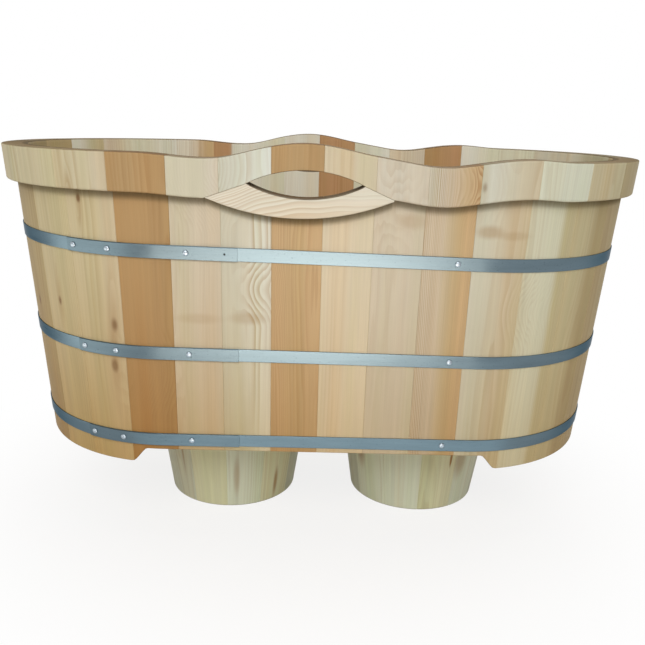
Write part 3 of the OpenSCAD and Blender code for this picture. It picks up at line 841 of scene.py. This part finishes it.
def wall_section(size, us, part):
    """Across a stave: up the outside, out under the band, over the rim and down the inside, into the groove.

    Where the hand opening cuts the stave, the parts above and below it have outlines of their own.
    """
    s = Section()

    def over_the_rim():
        s.corner(PROUD, rim_top, size.rim_round, (-1, -1), True, 0.8)
        s.point(-0.6 * STAVE, rim_top, 0, cut=0.75)
        s.corner(-STAVE, rim_top, size.rim_round, (1, -1), False, 2.3)

    if part == "above":
        s.corner(PROUD, eye_over, size.eye_round, (-1, 1), False, 1.5)
        over_the_rim()
        s.corner(-STAVE, eye_over, size.eye_round, (1, 1), True, 1.0)
        return s
    s.corner(0, foot, size.foot_round, (-1, 1), False, 1.0, 2)
    for z in (0.12, 0.24, 0.36):
        s.point(0, level(z), 0, (-1, 0))
    # The painted shade in the crease under the band is darker at the right end and under the lip
    x = around(us, face_r(HEIGHT) + PROUD)[0]
    share = 1 + 0.3 * np.clip((x - 0.42) / 0.1, 0, 1) + 0.2 * (np.abs(x - LIP_X) < LIP_HALF)
    for drop, dark in CREASE_SHADE:
        s.point(0, shelter, -drop, (-1, 0), cut=-dark * share)
    if part == "below":
        s.corner(0, eye_under, 0.0004, (-1, -1), True, 1.1, 2)
        s.point(-0.7 * STAVE, eye_under, 0, cut=0.8)
        s.corner(-STAVE, eye_under, size.eye_round, (1, -1), False, 1.7)
    else:
        # The band's underside is end grain, and the dark at its corner with the wall is painted shade
        s.point(0, rim_under, 0, (-1, 1), cut=0.75)
        out_of_lip = np.clip(np.maximum(LIP_LEFT - x, x - LIP_RIGHT) / 0.012, 0, 1)
        low_r = size.seam + (size.band_round - size.seam) * out_of_lip
        s.corner(PROUD, rim_under, low_r, (-1, 1), False, 1.1 - 0.65 * out_of_lip)
        over_the_rim()
    groove = face_r(FLOOR_Z + FLOOR_THICK / 2) - STAVE + GROOVE
    for z in (0.42, 0.30, 0.18, FLOOR_Z + FLOOR_THICK):
        s.point(-STAVE, level(z), 0, (1, 0))
    s.point(groove, level(FLOOR_Z + FLOOR_THICK), 0, upright=True)
    s.point(groove, level(FLOOR_Z), 0, upright=True)
    s.point(-STAVE, level(FLOOR_Z), 0, (1, 0))
    s.corner(-STAVE, foot, size.foot_round, (1, 1), True, 1.0, 2)
    return s


def foot_places():
    """Places where the arch's ramp starts and ends, on the outside of the foot, front and back."""
    ramp = (ARCH_HALF, ARCH_HALF + ARCH_RUN)
    turns = [SIDE_HALF + FOOT_R * math.asin((x - SIDE_HALF) / FOOT_R) for x in ramp]
    front = [side * t for t in turns for side in (-1, 1)]
    return front + [t + GIRTH / 2 for t in front]


def eye_spans(u0, u1):
    """Splits the places of a stave where the front or back hand opening begins and ends.

    Gives each span with its two ends and whether the opening cuts it.
    """
    back = GIRTH / 2
    spans = [(EYE_LEFT + turn, EYE_RIGHT + turn) for turn in (0, GIRTH)]
    spans.append((back - EYE_RIGHT, back - EYE_LEFT))
    cuts = sorted({u0, u1, *[c for span in spans for c in span if u0 < c < u1]})
    for a, b in zip(cuts[:-1], cuts[1:]):
        middle = (a + b) / 2
        yield a, b, any(low < middle < high for low, high in spans)


class TUB_OT_staves(Operator):
    """Builds the wall's staves, each in one piece with its share of the rim band"""

    bl_idname = "tub.staves"
    bl_label = "Staves"

    def execute(self, context):
        size, colours = context.scene.tub_sizes, context.scene.tub_wood
        material = board_wood("stave_wood", colours)
        bends = [LIP_LEFT, LIP_RIGHT] + foot_places()
        kinks = bends + [k + GIRTH for k in bends] + [GIRTH / 2 - LIP_LEFT, GIRTH / 2 - LIP_RIGHT]
        for index in range(STAVES):
            u0, u1 = JOINT_SHIFT + index * PITCH, JOINT_SHIFT + (index + 1) * PITCH
            shell = Shell()
            for a, b, open_here in eye_spans(u0, u1):
                us, ease = columns(a, b, size.joint_ease, kinks, (a == u0, b == u1))
                for part in ("above", "below") if open_here else ("whole",):
                    points, out, z, cut = wall_section(size, us, part).skin(us, ease)
                    shell.grid(points, stave_values(index, us, out, z, cut, colours))
            name = "stave_%02d" % (index + 1)
            finish_piece(shell.piece("wall_" + name), "tub", "stave_wood", material, name)
        return {"FINISHED"}


class TUB_OT_handle_lips(Operator):
    """Builds the bowed lip under the hand opening, in front and at the back"""

    bl_idname = "tub.handle_lips"
    bl_label = "Handle lips"

    def execute(self, context):
        size, colours = context.scene.tub_sizes, context.scene.tub_wood
        material = board_wood("lip_wood", colours)
        # The lip runs as far as it keeps some depth
        probe = np.linspace(LIP_LEFT, LIP_RIGHT, 3001)
        deep = probe[lip_top(probe) - lip_low(probe) > LIP_LEAST]
        xs = np.unique(np.concatenate([np.linspace(deep[0], deep[-1], 90), [EYE_LEFT, EYE_RIGHT]]))
        tall = lip_top(xs) - lip_low(xs)
        inside = np.clip((EYE_HALF - np.abs(xs - HANDLE_X)) / 0.006, 0, 1)
        low_r = np.minimum(size.lip_round, tall * 0.3)
        top_r = np.minimum(size.seam + (size.eye_round - size.seam) * inside, tall * 0.3)
        s = Section()
        s.corner(PROUD, lip_low, low_r, (-1, 1), False, 0.25)
        s.corner(PROUD, lip_top, top_r, (-1, -1), True, 1.0)
        s.point(0.6 * PROUD, lip_top, 0, cut=0.7)
        s.point(0, lip_top, 0, cut=0.9)
        s.point(0, lip_low, 0, cut=0.3)
        points, out, z, cut = s.skin(xs, np.zeros(len(xs)))
        x = points[..., 0]
        # The lip's board lies along the tub, its rings in arches that lean to the right
        rise = z - 0.462 - 0.10 * (x - LIP_X) + 0.9 * (x - LIP_X - 0.03) ** 2
        rise = rise + 0.0020 * np.sin(34 * x + 1) + 0.0009 * np.sin(97 * x + 2)
        rings = 0.14 + 0.30 * np.clip((0.06 - x) / 0.10, 0, 1)
        values = {
            "plank": spread_over(x.shape, rise + 0.012, out + 0.035, (x - LIP_X) * 0.55 + 90.0),
            "tone": spread_over(x.shape, *colours.lip),
            "figure": spread_over(x.shape, rings, RING_STEP, 0.20),
            "cut": cut * np.clip(inside * 1.2, 0.4, 1)[:, None],
            "place": spread_over(x.shape, 0.0, 1.0, 0.0),
        }
        for side, mirror in (("front", 1), ("back", -1)):
            shell = Shell()
            shell.grid(points * (1, mirror, 1), values)
            shell.faces = [face[::mirror] for face in shell.faces]
            finish_piece(shell.piece(side + "_lip"), "tub", "lip_wood", material, side + "_handle_lip")
        return {"FINISHED"}


def hoop_height(height, slant, x):
    """Height of a hoop's middle line: it falls to the right by the slant."""
    return height - x * math.tan(math.radians(slant))


def strip_section(height, slant, inner, outer, edge):
    """Across a hoop: a thin upright strip with rounded edges."""

    def low(x):
        return hoop_height(height, slant, x) - HOOP_TALL / 2

    def high(x):
        return hoop_height(height, slant, x) + HOOP_TALL / 2

    s = Section()
    s.corner(outer, low, edge, (-1, 1), False, 0, 3)
    s.corner(outer, high, edge, (-1, -1), True, 0, 3)
    s.point(inner, high)
    s.point(inner, low)
    return s


class TUB_OT_hoops(Operator):
    """Builds the three steel hoops, each a strip with its lapped end"""

    bl_idname = "tub.hoops"
    bl_label = "Hoops"

    def execute(self, context):
        size, metal = context.scene.tub_sizes, context.scene.tub_metal
        turns = np.linspace(0, GIRTH, 360, endpoint=False)
        lap = np.linspace(LAP[0], LAP[1], 60)
        for number, (name, (height, slant)) in enumerate(HOOPS.items()):
            shell = Shell()
            for layer, us in enumerate((turns, lap)):
                inner, outer = layer * (HOOP_THICK - LAP_SINK), (layer + 1) * HOOP_THICK
                section = strip_section(height - layer * LAP_DROP, slant, inner, outer, size.hoop_edge)
                points, _, z, _ = section.skin(us, np.zeros(len(us)))
                along = np.where(us > GIRTH / 2, us - GIRTH, us)[:, None]
                strip = spread_over(z.shape, along, z, layer * UPPER_LAYER)
                shell.grid(points, {"strip": strip}, wrap=layer == 0)
            spare = (SPARE_HOLE, hoop_height(height, slant, SPARE_HOLE), UPPER_LAYER)
            hole = spare if name == "top_hoop" else None
            kind = "hoop_steel_%d" % number
            steel = brushed(kind, metal.hoop, 0.31, (3, 1300, 1), "strip", hole, 0.25, metal.nail)
            finish_piece(shell.piece("steel_" + name), "tub", "hoop_steel", steel, name)
        return {"FINISHED"}


class TUB_OT_nails(Operator):
    """Builds the domed heads of the nails that hold the hoops"""

    bl_idname = "tub.nails"
    bl_label = "Nails"

    def execute(self, context):
        metal = context.scene.tub_metal
        shell = Shell()
        # Radius and height over the strip, turned about the nail: a shank, a thin edge and a quarter ellipse
        shank = [(0.0020, -0.014), (0.0020, -0.001)]
        edge = [(0.0046, -0.0002), (0.0050, 0.0002)]
        turn = np.linspace(0, math.pi / 2, 7)[:-1]
        dome = [(0.0050 * math.cos(t), 0.0006 + 0.0023 * math.sin(t)) for t in turn]
        profile = shank + edge + dome + [(0.0, 0.0029)]
        for height, slant in HOOPS.values():
            for u in NAILS:
                z = hoop_height(height, slant, float(around(u, FOOT_R)[0]))
                x, y = (float(v) for v in around(u, face_r(z)))
                layers = 2 if LAP[0] < u < LAP[1] else 1
                points, faces = turned(profile, 20, shell.count)
                tilt = Matrix.Rotation(math.pi / 2 + LEAN_ANGLE, 3, "Y")
                spin = np.array(Matrix.Rotation(float(facing(u)), 3, "Z") @ tilt)
                moved = (points + (0, 0, layers * HOOP_THICK)) @ spin.T + (x, y, z + FOOT_Z)
                shell.add(moved, faces, {"strip": points + (u, z, 0)})
        steel = brushed("nail_steel", metal.nail, 0.34, (60, 60, 60), "strip")
        finish_piece(shell.piece("nail_heads"), "tub", "nail_steel", steel, "hoop_nails")
        return {"FINISHED"}


class TUB_OT_floor(Operator):
    """Gives the floor boards, battens and screws their finish"""

    bl_idname = "tub.floor"
    bl_label = "Floor"

    def execute(self, context):
        colours, metal = context.scene.tub_wood, context.scene.tub_metal
        half = face_r(FLOOR_Z + FLOOR_THICK / 2) - STAVE + GROOVE - FLOOR_PLAY
        rows = (2 * half / FLOOR_BOARDS, -half)
        boards = plain_wood("floor_wood", colours, colours.straw, (0.03, 0.0, 0.06), LENGTHWISE, rows)
        batten = plain_wood("batten_wood", colours, colours.tan, (0.02, 0.05, 0.05), CROSSWISE)
        screws = brushed("screw_steel", metal.nail, 0.3, (200, 200, 200))
        for number in range(FLOOR_BOARDS):
            finish_node("floor_board_%d" % (number + 1), boards)
        finish_node("left_batten", batten)
        finish_node("right_batten", batten)
        finish_node("batten_screws", screws)
        return {"FINISHED"}


class TUB_OT_pedestals(Operator):
    """Builds the two round pedestals of glued staves"""

    bl_idname = "tub.pedestals"
    bl_label = "Pedestals"

    def execute(self, context):
        size, colours = context.scene.tub_sizes, context.scene.tub_wood
        material = board_wood("pedestal_wood", colours)
        tops = plain_wood("pedestal_top_wood", colours, colours.grey, (0.05, 0.02, 0.06), LENGTHWISE)
        step = 2 * math.pi / PEDESTAL_STAVES
        # The outline across a stave is carried round the axis, and its radius grows with height by the flare.
        # It starts and ends in the middle of the foot, so that all four corners are rounded
        corners = [(0, 0), (0, PEDESTAL_TALL), (-PEDESTAL_WALL, PEDESTAL_TALL), (-PEDESTAL_WALL, 0)]
        loop = rounded([(-0.006, 0.0)] + corners + [(-0.012, 0.0)], 0.0022)[:-1]
        edges = np.roll(loop, -1, 0) - np.roll(loop, 1, 0)
        inward = np.stack([-edges[:, 1], edges[:, 0]], 1) / np.linalg.norm(edges, axis=1)[:, None]
        places, ease = columns(0.0, step, 1.2 * size.joint_ease, step=step / 9, width=0.006)
        out = loop[:, 0] + ease[:, None] * inward[:, 0]
        z = np.clip(loop[:, 1] + ease[:, None] * inward[:, 1], 0, PEDESTAL_TALL)
        r = PEDESTAL_R + z * PEDESTAL_FLARE + out
        at_ends = (loop[:, 1] < 0.0015) | (loop[:, 1] > PEDESTAL_TALL - 0.0015)
        for offset, (side, middle) in enumerate(PEDESTALS.items()):
            shell = Shell()
            for k in range(PEDESTAL_STAVES):
                turns = (places + k * step)[:, None]
                points = np.stack([middle + r * np.cos(turns), r * np.sin(turns), z], -1)
                seed = k + 13 * offset
                wide = (turns - (k + 0.5) * step) * PEDESTAL_MEAN_R - 0.03 * math.sin(seed * 1.9)
                arc = (turns - 1.5 * math.pi) * PEDESTAL_MEAN_R
                values = {
                    "plank": spread_over(z.shape, wide, out + 0.06, z + 1.7 * seed + 200.0),
                    "tone": spread_over(z.shape, *getattr(colours, PEDESTAL_TONES[side][k])),
                    "figure": spread_over(z.shape, 0.25, RING_STEP, 0.34),
                    "cut": np.broadcast_to(at_ends * 1.0, z.shape),
                    "place": spread_over(z.shape, arc, z + 2, 3.0 + 2 * offset),
                }
                shell.grid(points, values)
            name = side + "_pedestal_staves"
            finish_piece(shell.piece(side + "_pedestal"), "tub", "pedestal_wood", material, name)
            finish_node(side + "_pedestal_top", tops)
        return {"FINISHED"}


class TUB_OT_drain(Operator):
    """Finishes the drain's body, gaskets and lock nut"""

    bl_idname = "tub.drain"
    bl_label = "Drain"

    def execute(self, context):
        metal = context.scene.tub_metal
        steel = brushed("drain_steel", metal.drain, 0.30, (260, 260, 40))
        black = rubber("gasket_rubber", metal.rubber)
        finish_node("drain_body", steel)
        finish_node("drain_nut", steel)
        finish_node("drain_gasket", black)
        finish_node("drain_washer", black)
        return {"FINISHED"}


class TUB_OT_stopper(Operator):
    """Builds the lift stopper with its knob, stem, rubber ring and clip"""

    bl_idname = "tub.stopper"
    bl_label = "Stopper"

    def turn_piece(self, name, profile, slot, material, node):
        """Turns a profile of radius and height above the floor about the drain's axis."""
        points, faces = turned(profile, 64)
        piece = make_piece(name, points + (DRAIN_X, 0, 0), faces, sharp=30)
        finish_piece(piece, "stopper", slot, material, node)

    def execute(self, context):
        metal = context.scene.tub_metal
        polished = brushed("stopper_steel", metal.stopper, 0.12, (90, 90, 90))
        black = rubber("seal_rubber", metal.rubber)
        low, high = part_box("stopper")
        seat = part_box("stopper_seal")[1].z
        top = high.z
        # Radius and height from the stem's foot up, turned about the drain's axis, with a ball for the knob
        body = [
            (0.0, low.z), (0.003, low.z), (0.003, seat), (0.0300, seat), (0.0300, seat + 0.003),
            (0.0080, seat + 0.007), (0.0040, seat + 0.0085), (0.0040, top - 0.0140),
        ]
        turns = np.linspace(-1.0, math.pi / 2, 12)[:-1]
        knob = [(KNOB_R * math.cos(t), top - KNOB_R + KNOB_R * math.sin(t)) for t in turns]
        profile = np.concatenate([rounded(body, 0.0008), [(0.0045, knob[0][1])], knob, [(0.0, top)]])
        self.turn_piece("lift_stopper", profile, "stopper_steel", polished, "stopper")
        foot_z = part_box("stopper_seal")[0].z
        ring = [(0.0032, foot_z), (0.0290, foot_z), (0.0290, seat), (0.0032, seat), (0.0032, foot_z)]
        self.turn_piece("stopper_ring", rounded(ring, 0.0006), "gasket_rubber", black, "stopper_seal")
        finish_node("stopper_clip", polished)
        return {"FINISHED"}


class TUB_OT_stage(Operator):
    """Sets the floor, the light and the camera"""

    bl_idname = "tub.stage"
    bl_label = "Stage"

    def lamp(self, name, power, size, place, aim, colour=(1, 1, 1), gloss_only=False):
        """An oval lamp pointed at a place. One for gloss only shows in metal and adds no light."""
        data = bpy.data.lights.new(name, "AREA")
        data.shape = "ELLIPSE"
        data.energy = power
        data.size, data.size_y = size
        data.color = colour
        lamp = bpy.data.objects.new(name, data)
        lamp.visible_camera = False
        lamp.visible_diffuse = not gloss_only
        lamp.location = place
        lamp.rotation_euler = (Vector(place) - Vector(aim)).to_track_quat("Z", "Y").to_euler()
        bpy.context.scene.collection.objects.link(lamp)

    def floor(self, colour):
        """A wide pale square. The camera sees mostly plain white there, with the object's shadow in it."""
        half = 9.0
        points = np.array([(-half, -half, 0), (half, -half, 0), (half, half, 0), (-half, half, 0)])
        piece = make_piece("floor", points, [[0, 1, 2, 3]])
        f = Finish("floor")
        here = f.object_place()
        speck = f.noise(here, (3, 3, 3), 2.0)
        matte = f.node("ShaderNodeBsdfDiffuse", {"Color": f.scaled(rgba(colour), 0.99 + speck * 0.02)})
        white = f.node("ShaderNodeEmission", {"Color": (1, 1, 1, 1), "Strength": 1.0})
        away = f.distance(here, (0, 0, 0)).step(0.3, 0.9)
        f.lit_and_seen("ShaderNodeOutputMaterial", matte, white, 0.82 + away * 0.18)
        piece.data.materials.append(f.material)

    def room(self, strength):
        """Soft light from all round, from walls that the camera sees as plain white."""
        world = bpy.data.worlds.new("room")
        bpy.context.scene.world = world
        nodes = Nodes(world)
        soft = nodes.node("ShaderNodeBackground", {0: (1.0, 0.99, 0.97, 1), 1: strength})
        white = nodes.node("ShaderNodeBackground", {0: (1, 1, 1, 1), 1: 1.0})
        nodes.lit_and_seen("ShaderNodeOutputWorld", soft, white, 1.0)

    def camera(self):
        """The photograph's view: turned by yaw, tipped down by pitch and leaned by roll."""
        yaw, pitch, roll = VIEW_TURNS
        level_part = math.cos(pitch)
        ahead = np.array([math.sin(yaw) * level_part, math.cos(yaw) * level_part, -math.sin(pitch)])
        right = np.array([math.cos(yaw), -math.sin(yaw), 0.0])
        up = np.cross(right, ahead)
        leaned_right = math.cos(roll) * right + math.sin(roll) * up
        leaned_up = math.cos(roll) * up - math.sin(roll) * right
        data = bpy.data.cameras.new("camera")
        data.sensor_width = SENSOR
        data.lens = SENSOR * VIEW_FOCAL / VIEW_WIDTH
        data.clip_start, data.clip_end = 0.05, 60.0
        camera = bpy.data.objects.new("camera", data)
        bpy.context.scene.collection.objects.link(camera)
        rows = np.stack([leaned_right, leaned_up, -ahead, VIEW_PLACE], 1)
        camera.matrix_world = Matrix([*rows.tolist(), [0, 0, 0, 1]])
        bpy.context.scene.camera = camera

    def execute(self, context):
        look = context.scene.tub_stage
        context.scene.view_settings.view_transform = "Standard"
        self.floor(look.floor)
        self.room(look.room)
        self.lamp("main lamp", look.key, (2.0, 1.6), (-0.4, -2.6, 2.3), (0, 0, 0.4))
        self.lamp("top lamp", look.top, (2.0, 1.6), (0.1, 0.0, 3.2), (0, 0, 0.5))
        self.lamp("back lamp", look.back, (1.6, 1.2), (0.7, 2.6, 2.2), (0, 0, 0.3))
        # Lamps just above the floor: share of their power, width and length, place, colour
        for name, power, size, x, y, colour in (
            ("far", 1.28, (1.12, 1.45), -0.05, -1.65, (1.0, 0.865, 0.735)),
            ("near", 0.045, (1.3, 0.40), 0.06, -0.60, (0.75, 0.94, 1.0)),
            ("left", 1.07, (2.3, 2.3), -2.10, -1.05, (1.0, 1.0, 0.92)),
        ):
            place, aim = (x, y, 0.03), (x, y, 1.0)
            self.lamp("floor lamp " + name, look.glint * power, size, place, aim, colour, gloss_only=True)
        self.camera()
        return {"FINISHED"}


class TUB_PT_panel(Panel):
    """Lists the tub's pieces, sizes and colours"""

    bl_idname = "TUB_PT_panel"
    bl_label = "Stave plunge tub"
    bl_space_type = "VIEW_3D"
    bl_region_type = "UI"
    bl_category = "Tub"

    def draw(self, context):
        for operator in OPERATORS:
            self.layout.operator(operator.bl_idname)
        for key, group in GROUPS.items():
            box = self.layout.box()
            for name in group.__annotations__:
                box.prop(getattr(context.scene, key), name)


GROUPS = {"tub_sizes": TubSizes, "tub_wood": WoodColours, "tub_metal": MetalColours, "tub_stage": StageLook}
OPERATORS = (
    TUB_OT_staves,
    TUB_OT_handle_lips,
    TUB_OT_hoops,
    TUB_OT_nails,
    TUB_OT_floor,
    TUB_OT_pedestals,
    TUB_OT_drain,
    TUB_OT_stopper,
    TUB_OT_stage,
)


def register():
    for cls in (*GROUPS.values(), *OPERATORS, TUB_PT_panel):
        bpy.utils.register_class(cls)
    for key, group in GROUPS.items():
        setattr(bpy.types.Scene, key, PointerProperty(type=group))


def unregister():
    for key in GROUPS:
        delattr(bpy.types.Scene, key)
    for cls in (TUB_PT_panel, *reversed(OPERATORS), *reversed(GROUPS.values())):
        bpy.utils.unregister_class(cls)


def main():
    register()
    bpy.ops.tub.staves()
    bpy.ops.tub.handle_lips()
    bpy.ops.tub.hoops()
    bpy.ops.tub.nails()
    bpy.ops.tub.floor()
    bpy.ops.tub.pedestals()
    bpy.ops.tub.drain()
    bpy.ops.tub.stopper()
    bpy.ops.tub.stage()


if __name__ == "__main__":
    main()
